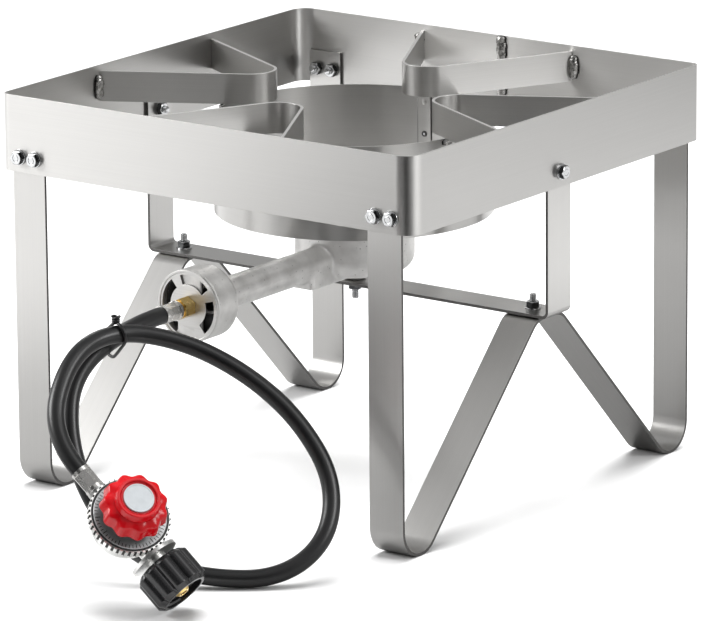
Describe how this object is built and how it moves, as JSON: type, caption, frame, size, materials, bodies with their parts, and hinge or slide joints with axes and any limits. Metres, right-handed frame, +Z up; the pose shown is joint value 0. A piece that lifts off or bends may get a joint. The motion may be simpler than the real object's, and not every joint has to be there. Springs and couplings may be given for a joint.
{
  "type": "outdoor gas stove",
  "caption": "Low square outdoor gas stove: sheet rim with V-shaped pot supports, bent strip legs, cast burner in a round wind guard, and a hose with an adjustable regulator.",
  "frame": {"origin": "on the ground, under the burner's axis at the middle of the square rim", "axes": "+Z up out of the burner, -Y towards the gas inlet, the leg frames stand at -X and +X"},
  "size_m": [0.4172, 0.6577, 0.326],
  "materials": {
    "satin_steel": "satin",
    "weld_steel": "rough",
    "rivet_steel": "bright",
    "zinc_fasteners": "bright",
    "cast_alloy": "as cast",
    "shutter_zinc": "bright",
    "yellow_brass": "machined",
    "bright_ferrule": "bright",
    "hose_rubber": "semi-gloss",
    "tie_black": "satin",
    "regulator_zinc": "satin",
    "screw_steel": "machined",
    "knob_red": "gloss",
    "disc_grey": "satin",
    "seal_rubber": "matt",
    "bushing_plastic": "matt",
    "nut_black": "satin"
  },
  "bodies": {
    "stove": {"rim_band": "satin_steel", "pot_support_front": "satin_steel", "pot_support_right": "satin_steel", "pot_support_back": "satin_steel", "pot_support_left": "satin_steel", "wind_guard": "satin_steel", "leg_frame_left": "satin_steel", "leg_frame_right": "satin_steel", "crossbar": "satin_steel", "weld_beads": "weld_steel", "guard_rivets": "rivet_steel", "leg_bolts": "zinc_fasteners", "leg_washers": "zinc_fasteners", "leg_nuts": "zinc_fasteners", "crossbar_bolts": "zinc_fasteners", "crossbar_washers": "zinc_fasteners", "crossbar_nuts": "zinc_fasteners", "crown_bolts": "zinc_fasteners", "crown_washers": "zinc_fasteners", "crown_nuts": "zinc_fasteners", "burner_bolt": "zinc_fasteners", "burner_bolt_washer": "zinc_fasteners", "burner_cap_screw": "zinc_fasteners", "burner_body": "cast_alloy", "burner_cap": "cast_alloy", "orifice_fitting": "yellow_brass", "inlet_nipple": "yellow_brass", "burner_ferrule": "bright_ferrule", "regulator_ferrule": "bright_ferrule", "gas_hose": "hose_rubber", "hose_tie": "tie_black", "regulator_base": "regulator_zinc", "regulator_bonnet": "regulator_zinc", "crimp_ring": "regulator_zinc", "nipple_seal": "seal_rubber"},
    "shutter": {"air_shutter": "shutter_zinc"},
    "knob": {"knob": "knob_red", "knob_disc": "disc_grey", "adjusting_screw": "screw_steel"},
    "bushing": {"nut_bushing": "bushing_plastic"},
    "nut": {"hand_nut": "nut_black"}
  },
  "joints": [
    {"name": "shutter_turn", "type": "hinge", "parent": "stove", "child": "shutter", "pos_m": [0, -0.22195, 0.183], "axis": [0, -1, 0], "continuous": true},
    {"name": "knob_turn", "type": "hinge", "parent": "stove", "child": "knob", "pos_m": [0.10325, -0.42438, 0.08632], "axis": [0.6228, -0.4084, 0.6673], "range_deg": [-540, 540]},
    {"name": "bushing_slide", "type": "slide", "parent": "stove", "child": "bushing", "axis": [0.7468, 0.0562, -0.6626], "range_m": [-0.0035, 0]},
    {"name": "nut_spin", "type": "hinge", "parent": "bushing", "child": "nut", "pos_m": [0.12378, -0.40781, 0.02786], "axis": [0.7468, 0.0562, -0.6626], "continuous": true}
  ]
}
